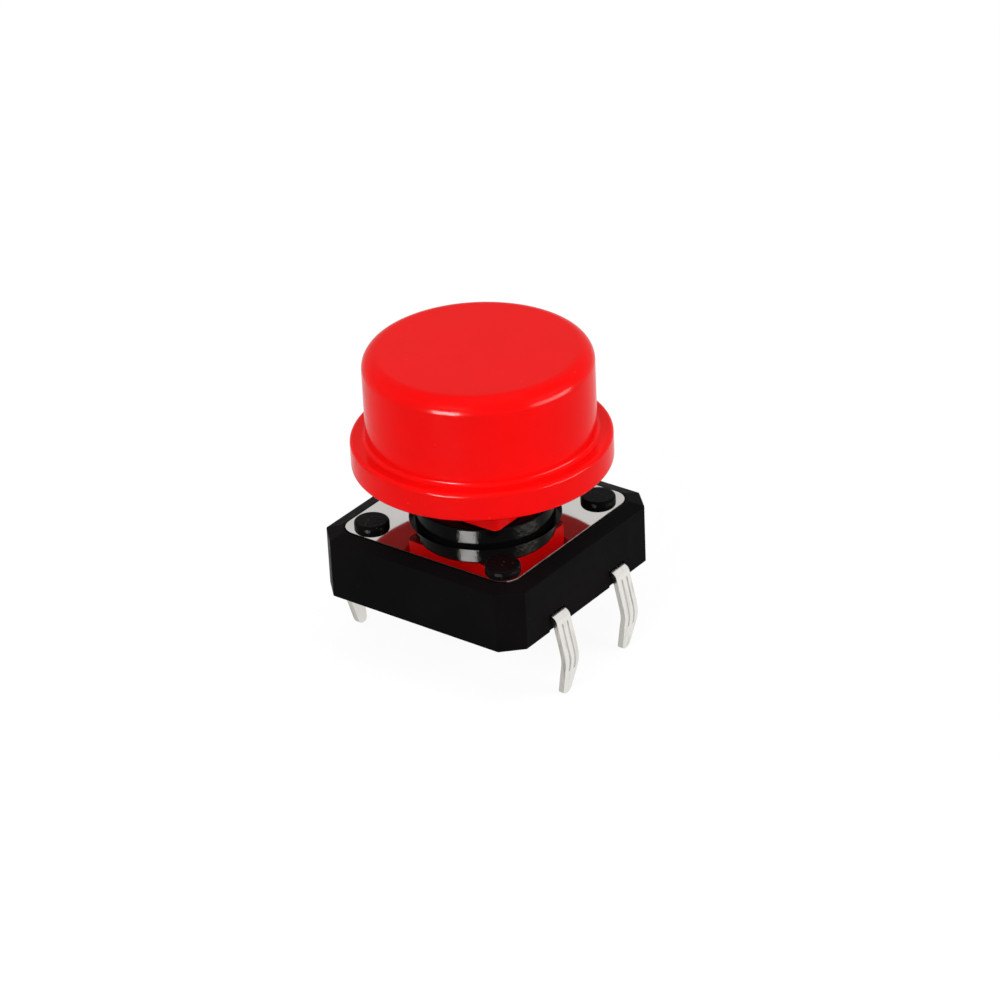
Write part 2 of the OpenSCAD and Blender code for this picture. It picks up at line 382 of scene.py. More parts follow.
class Graph:
    """Small helper that wires one material's nodes."""

    def __init__(self, name: str) -> None:
        """Starts a material with one principled shader."""
        self.material = bpy.data.materials.new(name)
        self.material.use_nodes = True
        self.tree = self.material.node_tree
        self.shader = self.tree.nodes["Principled BSDF"]
        self.place = self.node("ShaderNodeTexCoord").outputs["Object"]

    def node(self, kind: str, **settings: object) -> Node:
        """Adds a node and sets its properties."""
        made = self.tree.nodes.new(kind)
        for key, value in settings.items():
            setattr(made, key, value)
        return made

    def wire(self, source: NodeSocket, target: NodeSocket) -> None:
        """Links two sockets."""
        self.tree.links.new(source, target)

    def stretched(self, scale: Triple) -> NodeSocket:
        """Gives the object's coordinates, scaled along each axis."""
        mapping = self.node("ShaderNodeMapping")
        mapping.inputs["Scale"].default_value = scale
        self.wire(self.place, mapping.inputs["Vector"])
        return mapping.outputs["Vector"]

    def noise(
        self, scale: float, detail: float = 2.0, rough: float = 0.5,
        place: NodeSocket | None = None,
    ) -> NodeSocket:
        """Gives a noise between 0 and 1.

        Args:
            scale: Waves per metre.
            detail: Finer layers on top.
            rough: Strength of those layers.
            place: Coordinates, if not the object's own.

        Returns:
            The noise's socket.
        """
        made = self.node("ShaderNodeTexNoise")
        made.inputs["Scale"].default_value = scale
        made.inputs["Detail"].default_value = detail
        made.inputs["Roughness"].default_value = rough
        self.wire(place or self.place, made.inputs["Vector"])
        return made.outputs["Fac"]

    def specks(self, scale: float, size: float) -> NodeSocket:
        """Gives scattered round specks: 1 inside a speck and 0 outside.

        Args:
            scale: Cells per metre.
            size: Radius of a speck as a share of its cell.

        Returns:
            The mask's socket.
        """
        cells = self.node("ShaderNodeTexVoronoi", feature="F1")
        cells.inputs["Scale"].default_value = scale
        cells.inputs["Randomness"].default_value = 1.0
        self.wire(self.place, cells.inputs["Vector"])
        return self.span(cells.outputs["Distance"], size, size * 0.6)

    def span(
        self, value: NodeSocket, low: float, high: float, out_low: float = 0.0, out_high: float = 1.0
    ) -> NodeSocket:
        """Maps a value from one range to another, held at both ends."""
        made = self.node("ShaderNodeMapRange", clamp=True)
        for name, number in (
            ("From Min", low), ("From Max", high), ("To Min", out_low), ("To Max", out_high)
        ):
            made.inputs[name].default_value = number
        self.wire(value, made.inputs["Value"])
        return made.outputs["Result"]

    def tint(
        self, fac: NodeSocket, first: Colour, second: Colour, under: NodeSocket | None = None
    ) -> NodeSocket:
        """Mixes two colours by a mask.

        Args:
            fac: Mask, 0 for the first colour and 1 for the second.
            first: Colour where the mask is 0.
            second: Colour where the mask is 1.
            under: Socket that stands for the first colour, if there is one.

        Returns:
            The mixed colour's socket.
        """
        made = self.node("ShaderNodeMix", data_type="RGBA", blend_type="MIX")
        colours = [socket for socket in made.inputs if socket.type == "RGBA"]
        colours[0].default_value = (*first, 1.0)
        colours[1].default_value = (*second, 1.0)
        if under is not None:
            self.wire(under, colours[0])
        self.wire(fac, made.inputs["Factor"])
        return next(socket for socket in made.outputs if socket.type == "RGBA")

    def bump(
        self, height: NodeSocket, depth: float, strength: float,
        after: NodeSocket | None = None,
    ) -> NodeSocket:
        """Turns a height into a normal.

        Args:
            height: Height from 0 to 1.
            depth: What a height of 1 stands for, in metres.
            strength: Share of the bump that shows.
            after: Normal that this bump lies on, if there is one.

        Returns:
            The normal's socket.
        """
        made = self.node("ShaderNodeBump")
        made.inputs["Strength"].default_value = strength
        made.inputs["Distance"].default_value = depth
        self.wire(height, made.inputs["Height"])
        if after is not None:
            self.wire(after, made.inputs["Normal"])
        return made.outputs["Normal"]

    def set(self, **sockets: object) -> None:
        """Sets the shader's sockets, by value or by link; _ stands for a space."""
        for key, value in sockets.items():
            socket = self.shader.inputs[key.replace("_", " ")]
            if isinstance(value, NodeSocket):
                self.wire(value, socket)
            else:
                socket.default_value = value


@dataclass(frozen=True)
class MouldedPlastic:
    """Moulded plastic: slight flow of colour, orange peel, grain and dust specks, which on the staked peg
    heads are painted glints.
    """

    name: str
    colour: Colour
    flow: Colour
    dust_and_glint: Colour
    roughness: tuple[float, float]
    specular: float
    grain_depth: float
    grain_scale: float
    speck_scale: float = 900.0
    speck_size: float = 0.05
    flow_scale: float = 260.0
    wear_scale: float = 1500.0
    peel_scale: float = 700.0
    peel_depth: float = 4e-6

    def make(self) -> Material:
        """Builds the material."""
        graph = Graph(self.name)
        flow = graph.span(graph.noise(self.flow_scale, 2.0), 0.35, 0.65)
        colour = graph.tint(flow, self.colour, self.flow)
        colour = graph.tint(
            graph.specks(self.speck_scale, self.speck_size), self.colour, self.dust_and_glint, colour
        )
        wear = graph.noise(self.wear_scale, 4.0)
        peel = graph.bump(graph.noise(self.peel_scale, 1.0), self.peel_depth, 0.5)
        grain = graph.bump(graph.noise(self.grain_scale, 3.0), self.grain_depth, 1.0, peel)
        graph.set(
            Base_Color=colour,
            Roughness=graph.span(wear, 0.3, 0.7, *self.roughness),
            Normal=grain,
            Specular_IOR_Level=self.specular,
        )
        return graph.material


@dataclass(frozen=True)
class PolishedSteel:
    """Rolled and polished steel sheet with faint lengthwise scratches."""

    name: str
    colour: Colour
    stain: Colour
    roughness: tuple[float, float]
    line_scale: Triple = (900.0, 26000.0, 900.0)
    line_depth: float = 2e-7
    cloud_scale: float = 500.0
    wave_scale: float = 220.0
    wave_depth: float = 3e-6

    def make(self) -> Material:
        """Builds the material."""
        graph = Graph(self.name)
        lines = graph.noise(1.0, 3.0, 0.6, graph.stretched(self.line_scale))
        cloud = graph.noise(self.cloud_scale, 3.0)
        waves = graph.noise(self.wave_scale, 1.0)
        graph.set(
            Base_Color=graph.tint(graph.span(cloud, 0.4, 0.7), self.colour, self.stain),
            Metallic=1.0,
            Roughness=graph.span(lines, 0.3, 0.7, *self.roughness),
            Normal=graph.bump(waves, self.wave_depth, 0.6, graph.bump(lines, self.line_depth, 0.5)),
        )
        return graph.material


@dataclass(frozen=True)
class TinPlate:
    """Bright tin plating over stamped strip, drawn along the legs."""

    name: str
    colour: Colour
    shade: Colour
    roughness: tuple[float, float]
    streak_scale: Triple = (2600.0, 5200.0, 380.0)
    streak_depth: float = 5e-6
    blotch_scale: float = 1600.0
    blotch_depth: float = 8e-6

    def make(self) -> Material:
        """Builds the material."""
        graph = Graph(self.name)
        streak = graph.noise(1.0, 4.0, 0.65, graph.stretched(self.streak_scale))
        blotch = graph.noise(self.blotch_scale, 3.0)
        mask = graph.span(streak, 0.52, 0.75)
        drawn = graph.bump(streak, self.streak_depth, 0.6)
        graph.set(
            Base_Color=graph.tint(mask, self.colour, self.shade),
            Metallic=1.0,
            Roughness=graph.span(blotch, 0.3, 0.7, *self.roughness),
            Normal=graph.bump(blotch, self.blotch_depth, 0.4, drawn),
        )
        return graph.material


@dataclass(frozen=True)
class Finishes:
    """The switch's finishes, each made once."""

    cap: Material
    housing: Material
    stake: Material
    plunger: Material
    cover: Material
    slit: Material
    cut: Material
    strip: Material
    sheared: Material
    groove: Material
    dome: Material

    @classmethod
    def mixed(cls) -> "Finishes":
        """Makes every finish."""
        black = (0.0032, 0.0030, 0.0031)
        return cls(
            cap=MouldedPlastic(
                "cap_red", (0.86, 0.003, 0.003), (0.83, 0.0035, 0.0035), (0.88, 0.03, 0.03),
                (0.13, 0.2), 0.042, 1.5e-6, 5200.0,
            ).make(),
            housing=MouldedPlastic(
                "housing_black", black, (0.0046, 0.0038, 0.0040), (0.016, 0.016, 0.016),
                (0.34, 0.5), 0.013, 3e-6, 9000.0,
            ).make(),
            # Painted glints: the stake's larger light specks stand for the sparkle of the rough staked
            # heads.
            stake=MouldedPlastic(
                "stake_black", black, (0.0046, 0.004, 0.004), (0.05, 0.047, 0.047),
                (0.2, 0.42), 0.022, 1.6e-5, 3600.0, 3200.0, 0.16,
            ).make(),
            plunger=MouldedPlastic(
                "plunger_black", (0.0024, 0.0022, 0.0022), (0.0032, 0.003, 0.003), (0.015, 0.015, 0.015),
                (0.1, 0.2), 0.05, 9e-6, 4500.0,
            ).make(),
            cover=PolishedSteel(
                "cover_steel", (0.68, 0.66, 0.635), (0.62, 0.6, 0.575), (0.03, 0.065),
            ).make(),
            slit=TinPlate(
                "cover_slit_edge", (0.46, 0.42, 0.4), (0.1, 0.09, 0.085), (0.28, 0.42),
            ).make(),
            # Painted shade: the ±Y edges are near black to stand for the shade in the gap between plate
            # and rim.
            cut=TinPlate(
                "cover_cut_edge", (0.05, 0.046, 0.044), (0.02, 0.018, 0.018), (0.12, 0.24),
            ).make(),
            strip=TinPlate(
                "strip_tin", (0.93, 0.905, 0.86), (0.66, 0.63, 0.58), (0.14, 0.26),
            ).make(),
            sheared=TinPlate(
                "strip_sheared_edge", (0.6, 0.58, 0.54), (0.3, 0.285, 0.26), (0.16, 0.3),
            ).make(),
            # Painted shade: the grooves are tinted darker to stand for the shade that falls in them.
            groove=TinPlate(
                "strip_groove", (0.6, 0.58, 0.54), (0.2, 0.19, 0.17), (0.16, 0.3),
            ).make(),
            dome=PolishedSteel(
                "dome_silver", (0.8, 0.77, 0.7), (0.72, 0.68, 0.6), (0.14, 0.24),
            ).make(),
        )


# Pieces

@dataclass
class Piece:
    """A named piece of the switch and what it stands for."""

    name: str
    node: str
    body: Body
    slot: str
    finishes: list[Material]
    crease: float = 40.0

    def place(self, bm: BMesh, flat: Callable[[BMFace], bool] | None = None) -> Object:
        """Makes the object from its mesh and ties it to the frame.

        Args:
            bm: Finished mesh in millimetres; it is freed.
            flat: Test for the faces that mirror as a true plane, if there are any.

        Returns:
            The object.
        """
        for face in bm.faces:
            face.smooth = flat is None or not flat(face)
        for edge in bm.edges:
            edge.smooth = edge.calc_face_angle(0.0) < math.radians(self.crease)
        mesh = bpy.data.meshes.new(self.name)
        bm.to_mesh(mesh)
        bm.free()
        for finish in self.finishes:
            mesh.materials.append(finish)
        piece = linked(self.name, mesh)
        if flat is None:
            mesh = self.evened(piece)
        mesh.transform(Matrix.Scale(MM, 4))
        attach(piece, self.body.value)
        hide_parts(self.node)
        LOG.info("%s: %d faces, rides on %s", self.name, len(mesh.polygons), self.body.value)
        return piece

    @staticmethod
    def evened(piece: Object) -> Mesh:
        """Bakes shading normals that follow the large faces, so that only roundings bend light.

        Args:
            piece: Object that is still in millimetres.

        Returns:
            The object's new mesh.
        """
        even = piece.modifiers.new("even_normals", "WEIGHTED_NORMAL")
        even.mode, even.weight, even.thresh, even.keep_sharp = "FACE_AREA", 80, 0.001, True
        graph = bpy.context.evaluated_depsgraph_get()
        mesh = bpy.data.meshes.new_from_object(piece.evaluated_get(graph))
        piece.modifiers.remove(even)
        piece.data = mesh
        return mesh


@dataclass
class KeyCap:
    """Red push-on cap: a flanged button over a square socket on four ribs."""

    finishes: Finishes
    button_r: float = 5.625
    flange_h: float = 1.5
    edge_r: float = 0.8
    flange_edge_r: float = 0.2
    neck_r: float = 0.2
    wall: float = 1.1
    socket_half: float = 2.8
    socket_r: float = 0.3
    bore_half: float = 1.92
    bore_r: float = 0.27
    rib_h: float = 2.6
    cap_h: float = 6.0
    steps: int = 128
    rib_steps: int = 2
    spoke_min: float = 0.5

    def build(self) -> Object:
        """Models the cap and places it."""
        low, high = node_box("key_cap")
        flange_r, top, bottom = high.x, high.z, high.z - self.cap_h
        neck = bottom + self.flange_h
        roof = top - self.wall
        bore_r = self.button_r - self.wall
        rib_low = roof - self.rib_h
        stem_top = node_box("plunger")[1].z

        bm = bmesh.new()
        spun(bm, [
            (0.0, top), (self.button_r, top), (self.button_r, neck), (flange_r, neck),
            (flange_r, bottom), (bore_r, bottom), (bore_r, rib_low), (bore_r, roof),
        ], self.steps)
        for radius, height, rounding, cuts in (
            (self.button_r, top, self.edge_r, 10),
            (self.button_r, neck, self.neck_r, 5),
            (flange_r, neck, self.flange_edge_r, 6),
            (flange_r, bottom, self.flange_edge_r, 6),
            (bore_r, bottom, self.flange_edge_r / 2, 3),
        ):
            bevel_edges(bm, rings_at(bm, radius, height), rounding, cuts)
        to_socket = squared(self.socket_half, self.socket_r)
        to_bore = squared(self.bore_half, self.bore_r)
        loop = drawn_on(bm, ring_verts(bm, bore_r, roof), shape=to_socket)
        loop = drawn_on(bm, loop, up(rib_low - roof))
        loop = drawn_on(bm, loop, up(low.z - rib_low))
        loop = drawn_on(bm, loop, shape=to_bore)
        loop = drawn_on(bm, loop, up(stem_top - low.z))
        fill_loop(bm, loop)
        merge(bm)
        self.add_ribs(bm, bore_r, rib_low, roof)
        merge(bm)
        return Piece(
            "red_cap", "key_cap", Body.BUTTON, "cap_plastic", [self.finishes.cap]
        ).place(bm)

    def add_ribs(self, bm: BMesh, bore_r: float, rib_low: float, roof: float) -> None:
        """Opens the pocket under the roof on four sides and bridges it with ribs.

        Args:
            bm: The cap's mesh.
            bore_r: Radius of the cap's hollow.
            rib_low: Height of the ribs' lower edges.
            roof: Height of the roof's underside.
        """
        half = math.tau * self.rib_steps / self.steps + TURN_SLACK

        def in_rib(vert: BMVert, turn: float) -> bool:
            away = math.atan2(vert.co.y, vert.co.x) - turn
            return abs(math.remainder(away, math.tau)) < half

        def between(vert: BMVert) -> bool:
            across = math.hypot(vert.co.x, vert.co.y)
            level = rib_low - MERGE_MM < vert.co.z < roof + MERGE_MM
            return level and self.socket_half - MERGE_MM < across < bore_r + MERGE_MM

        for turn in (0.0, math.pi / 2, math.pi, -math.pi / 2):
            gone = [
                face for face in bm.faces
                if all(in_rib(vert, turn) and between(vert) for vert in face.verts)
            ]
            rim = dict.fromkeys(edge for face in gone for edge in face.edges)
            bmesh.ops.delete(bm, geom=gone, context="FACES")
            sides = [
                edge for edge in rim
                if edge.is_valid and edge.is_boundary and not self.is_spoke(edge)
            ]
            bmesh.ops.bridge_loops(bm, edges=sides)

    def is_spoke(self, edge: BMEdge) -> bool:
        """Says whether an edge runs from the socket to the wall."""
        near, far = sorted(math.hypot(vert.co.x, vert.co.y) for vert in edge.verts)
        return far - near > self.spoke_min


@dataclass
class Plunger:
    """Black slider: nose, guide flange, round collar and square stem."""

    finishes: Finishes
    collar_r: float = 3.45
    collar_top: float = 4.3
    collar_edge_r: float = 0.12
    flange_r: float = 4.3
    flange_t: float = 0.8
    slide_gap: float = 0.05
    nose_r: float = 1.0
    stem_half: float = 1.9
    shoulder_r: float = 2.85
    stem_r: float = 0.25
    stem_edge_r: float = 0.15
    steps: int = 96
    lug_steps: int = 3

    def build(self) -> Object:
        """Models the plunger and places it."""
        low, high = node_box("plunger")
        flange_top = node_box("cover_plate")[0].z - self.slide_gap
        flange_low = flange_top - self.flange_t
        bm = bmesh.new()
        spun(bm, [
            (0.0, low.z), (self.nose_r, low.z), (self.nose_r, flange_low),
            (self.flange_r, flange_low), (self.flange_r, flange_top),
            (self.collar_r, flange_top), (self.collar_r, self.collar_top),
            (self.shoulder_r, self.collar_top),
        ], self.steps)
        bevel_edges(bm, rings_at(bm, self.collar_r, self.collar_top), self.collar_edge_r, 5)
        loop = ring_verts(bm, self.shoulder_r, self.collar_top)
        loop = drawn_on(bm, loop, shape=squared(self.stem_half, self.stem_r))
        loop = drawn_on(bm, loop, up(high.z - self.collar_top))
        lid = fill_loop(bm, loop)
        merge(bm)
        bevel_edges(bm, [edge for face in lid for edge in face.edges], self.stem_edge_r, 2)
        self.add_lugs(bm, flange_low, flange_top, high.x)
        merge(bm)
        return Piece(
            "black_plunger", "plunger", Body.BUTTON, "plunger_plastic", [self.finishes.plunger]
        ).place(bm)

    def add_lugs(self, bm: BMesh, flange_low: float, flange_top: float, reach: float) -> None:
        """Draws the two guide lugs out of the flange's edge.

        Args:
            bm: The plunger's mesh.
            flange_low: Height of the flange's underside.
            flange_top: Height of the flange's upper side.
            reach: How far the lugs reach from the axis.
        """
        half = math.tau * self.lug_steps / self.steps + TURN_SLACK
        for side in SIGNS:
            def in_lug(vert: BMVert) -> bool:
                across = math.hypot(vert.co.x, vert.co.y)
                level = flange_low - MERGE_MM < vert.co.z < flange_top + MERGE_MM
                turned = abs(math.atan2(vert.co.y, vert.co.x * side)) < half
                return level and turned and abs(across - self.flange_r) < NEAR_MM
            chosen = [face for face in bm.faces if all(in_lug(vert) for vert in face.verts)]
            drawn_to(bm, chosen, Axis.X, side * reach)


@dataclass
class Housing:
    """Black moulded housing: walls, sloping rim, leg recesses, chamber and pegs."""

    finishes: Finishes
    corner_cut: float = 1.0
    wall_h: float = 3.1
    rim_slope_w: float = 0.7
    rim_rise: float = 0.2
    plate_gap: float = 0.05
    plate_r: float = 0.9
    chamber_r: float = 4.7
    floor_h: float = 1.05
    peg_at: float = 3.96
    peg_r: float = 0.65
    peg_head_r: float = 0.875
    peg_edge_r: float = 0.12
    recess_half: float = 0.61
    recess_depth: float = 0.083
    recess_top: float = 0.93
    slot_steps: int = 3
    slot_reach: float = 5.05
    slot_low: float = 1.85
    leg_y: float = 2.5
    edge_r: float = 0.06
    steps: int = 96
    peg_steps: int = 40
    lip_steps: int = 8
    edge_zone: float = 0.1
    crest_zone: float = 0.01

    def build(self) -> Object:
        """Models the housing and places it."""
        half = node_box("base")[1].x
        seat, plate_top = (corner.z for corner in node_box("cover_plate"))
        plate_half = node_box("cover_plate")[1].x
        rim_top = self.wall_h + self.rim_rise
        head_top = node_box("base")[1].z

        bm = bmesh.new()
        floor = round_square(bm, half, self.corner_cut, 1, 0.0)
        made = bmesh.ops.extrude_face_region(bm, geom=[floor])
        bmesh.ops.translate(bm, verts=verts_of(made["geom"]), vec=up(self.wall_h))
        merge(bm)
        self.cut_recesses(bm, half)
        top = max(bm.faces, key=lambda face: face.calc_center_median().z)
        bmesh.ops.inset_region(
            bm, faces=[top], thickness=self.rim_slope_w, depth=self.rim_rise,
            use_even_offset=True, use_boundary=True,
        )
        crest = opened(bm, top)

        opening = round_square(
            bm, plate_half + self.plate_gap, self.plate_r + self.plate_gap, self.lip_steps, rim_top
        )
        lip = opened(bm, opening)
        fill_between(bm, crest, lip)
        ledge = drawn_on(bm, lip, up(seat - rim_top))
        chamber = circle(bm, self.chamber_r, self.steps, up(seat))
        self.open_slots(chamber)
        pegs = corner_circles(bm, self.peg_r, self.peg_steps, self.peg_at, seat)
        fill_between(bm, ledge, chamber, *pegs)
        self.sink_chamber(bm, chamber, seat)
        self.round_edges(bm, half, rim_top)
        stakes = [
            face for peg in pegs for face in self.raise_peg(bm, peg, seat, plate_top, head_top)
        ]
        for face in stakes:
            face.material_index = 1
        merge(bm)
        return Piece(
            "black_housing", "base", Body.HOUSING, "housing_plastic",
            [self.finishes.housing, self.finishes.stake],
        ).place(bm)

    def cut_recesses(self, bm: BMesh, half: float) -> None:
        """Opens a recess around each leg at the foot of the walls.

        Args:
            bm: Plain block of the housing.
            half: Half of its width.
        """
        inner = half - self.recess_depth
        cut_at(bm, Axis.Z, self.recess_top)
        for side in SIGNS:
            cut_at(bm, Axis.X, side * inner)
            for end in SIGNS:
                cut_at(bm, Axis.Y, side * self.leg_y + end * self.recess_half)
        for side in SIGNS:
            for row in SIGNS:
                self.sink_recess(bm, side, row * self.leg_y, half, inner)
        merge(bm)
        bmesh.ops.dissolve_limit(
            bm, angle_limit=math.radians(1.0), verts=bm.verts[:], edges=bm.edges[:],
            use_dissolve_boundaries=False,
        )

    def sink_recess(self, bm: BMesh, side: int, leg_y: float, half: float, inner: float) -> None:
        """Pushes one cell of a wall inwards and opens it downwards.

        Args:
            bm: The housing's block, cut into cells.
            side: 1 for the +X wall and -1 for the -X wall.
            leg_y: Middle of the recess.
            half: Distance of the wall.
            inner: Distance of the recess's back.
        """
        def in_cell(face: BMFace, low_x: float, high_x: float) -> bool:
            middle = face.calc_center_median()
            return (
                low_x - MERGE_MM < middle.x * side < high_x + MERGE_MM
                and abs(middle.y - leg_y) < self.recess_half
                and middle.z < self.recess_top
            )
        wall = [face for face in bm.faces if in_cell(face, half, half)]
        drawn_to(bm, wall, Axis.X, side * inner)
        sill = [
            face for face in bm.faces
            if in_cell(face, inner, half) and abs(face.calc_center_median().z) < MERGE_MM
        ]
        bmesh.ops.delete(bm, geom=sill, context="FACES")

    def open_slots(self, chamber: Sequence[BMVert]) -> None:
        """Widens the chamber's loop into two guide slots."""
        inside = math.tau * (self.slot_steps - 0.5) / self.steps
        edge = self.chamber_r * math.sin(math.tau * self.slot_steps / self.steps)
        for vert in chamber:
            side = math.copysign(1.0, vert.co.x)
            turn = math.atan2(vert.co.y, vert.co.x * side)
            if abs(turn) < inside:
                last = abs(turn) > inside - math.tau / self.steps
                vert.co.x = side * self.slot_reach
                vert.co.y = math.copysign(edge, turn) if last else vert.co.y

    def sink_chamber(self, bm: BMesh, chamber: Sequence[BMVert], seat: float) -> None:
        """Draws the chamber down past its guide slots to the floor.

        Args:
            bm: The housing's mesh.
            chamber: Loop of the chamber at the plate's seat.
            seat: Height of the plate's seat.
        """
        def to_round(verts: list[BMVert]) -> None:
            for vert in verts:
                flat = Vector((vert.co.x, vert.co.y))
                vert.co.x, vert.co.y = flat.normalized() * self.chamber_r

        loop = drawn_on(bm, chamber, up(self.slot_low - seat))
        loop = drawn_on(bm, loop, shape=to_round)
        loop = drawn_on(bm, loop, up(self.floor_h - self.slot_low))
        fill_loop(bm, loop)
        merge(bm)

    def round_edges(self, bm: BMesh, half: float, rim_top: float) -> None:
        """Rounds the moulding's outer edges.

        Args:
            bm: The housing's mesh.
            half: Half of its width.
            rim_top: Height of the rim's crest.
        """
        inner = half - self.recess_depth - self.corner_cut - self.edge_zone

        def outer(edge: BMEdge) -> bool:
            reach = min(max(abs(vert.co.x), abs(vert.co.y)) for vert in edge.verts)
            low = min(vert.co.z for vert in edge.verts)
            return reach > inner and low < rim_top - self.crest_zone
        bevel_edges(bm, sharp_edges(bm, outer), self.edge_r, 3)

    def raise_peg(
        self, bm: BMesh, loop: Sequence[BMVert], seat: float, plate_top: float, head_top: float
    ) -> list[BMFace]:
        """Draws a peg up through the plate and spreads its head.

        Args:
            bm: The housing's mesh.
            loop: Foot of the peg.
            seat: Height of the foot.
            plate_top: Height of the plate's upper side.
            head_top: Height of the head's top.

        Returns:
            The head's faces.
        """
        known = set(bm.faces)
        centre = sum((vert.co for vert in loop), Vector()) / len(loop)
        foot = [vert for vert in loop if vert.is_valid]
        ring = drawn_on(bm, foot, up(plate_top - seat))
        ring = drawn_on(bm, ring, shape=resized(bm, centre, self.peg_head_r / self.peg_r))
        ring = drawn_on(bm, ring, up(head_top - plate_top))
        lid = fill_loop(bm, ring)
        bevel_edges(bm, [edge for face in lid for edge in face.edges], self.peg_edge_r, 4)
        return [face for face in bm.faces if face not in known]


@dataclass
class CoverPlate:
    """Polished steel cover with a round window and four peg holes."""

    finishes: Finishes
    corner_r: float = 0.9
    window_r: float = 3.75
    peg_at: float = 3.96
    hole_r: float = 0.7
    edge_r: float = 0.02
    steps: int = 128
    hole_steps: int = 40
    corner_steps: int = 10
    fold: float = 60.0

    def build(self) -> Object:
        """Models the plate and places it."""
        low, high = node_box("cover_plate")
        bm = bmesh.new()
        outer = opened(bm, round_square(bm, high.x, self.corner_r, self.corner_steps, high.z))
        window = circle(bm, self.window_r, self.steps, up(high.z))
        holes = corner_circles(bm, self.hole_r, self.hole_steps, self.peg_at, high.z)
        faces = fill_between(bm, outer, window, *holes)
        made = bmesh.ops.extrude_face_region(bm, geom=faces)
        bmesh.ops.translate(bm, verts=verts_of(made["geom"]), vec=up(low.z - high.z))
        merge(bm)

        def on_top(edge: BMEdge) -> bool:
            return all(abs(vert.co.z - high.z) < MERGE_MM for vert in edge.verts)
        bevel_edges(bm, sharp_edges(bm, on_top, self.fold), self.edge_r, 3)
        merge(bm)
        self.dress(bm, high.x)
        return Piece(
            "steel_cover", "cover_plate", Body.HOUSING, "cover_steel",
            [self.finishes.cover, self.finishes.slit, self.finishes.cut],
        ).place(bm, flat=lambda face: abs(face.normal.z) > LEVEL)

    def dress(self, bm: BMesh, half: float) -> None:
        """Gives the strip's slit sides, on ±X, their own finish and paints shade on the cut-off sides, on
        ±Y.

        Args:
            bm: The plate's mesh.
            half: Half of its side.
        """
        for face in bm.faces:
            middle = face.calc_center_median()
            if abs(face.normal.z) > LEVEL or max(abs(middle.x), abs(middle.y)) < half - self.corner_r:
                continue
            across = abs(face.normal.x) > abs(face.normal.y)
            # Index 2 paints shade on the ±Y sides.
            face.material_index = 1 if across else 2


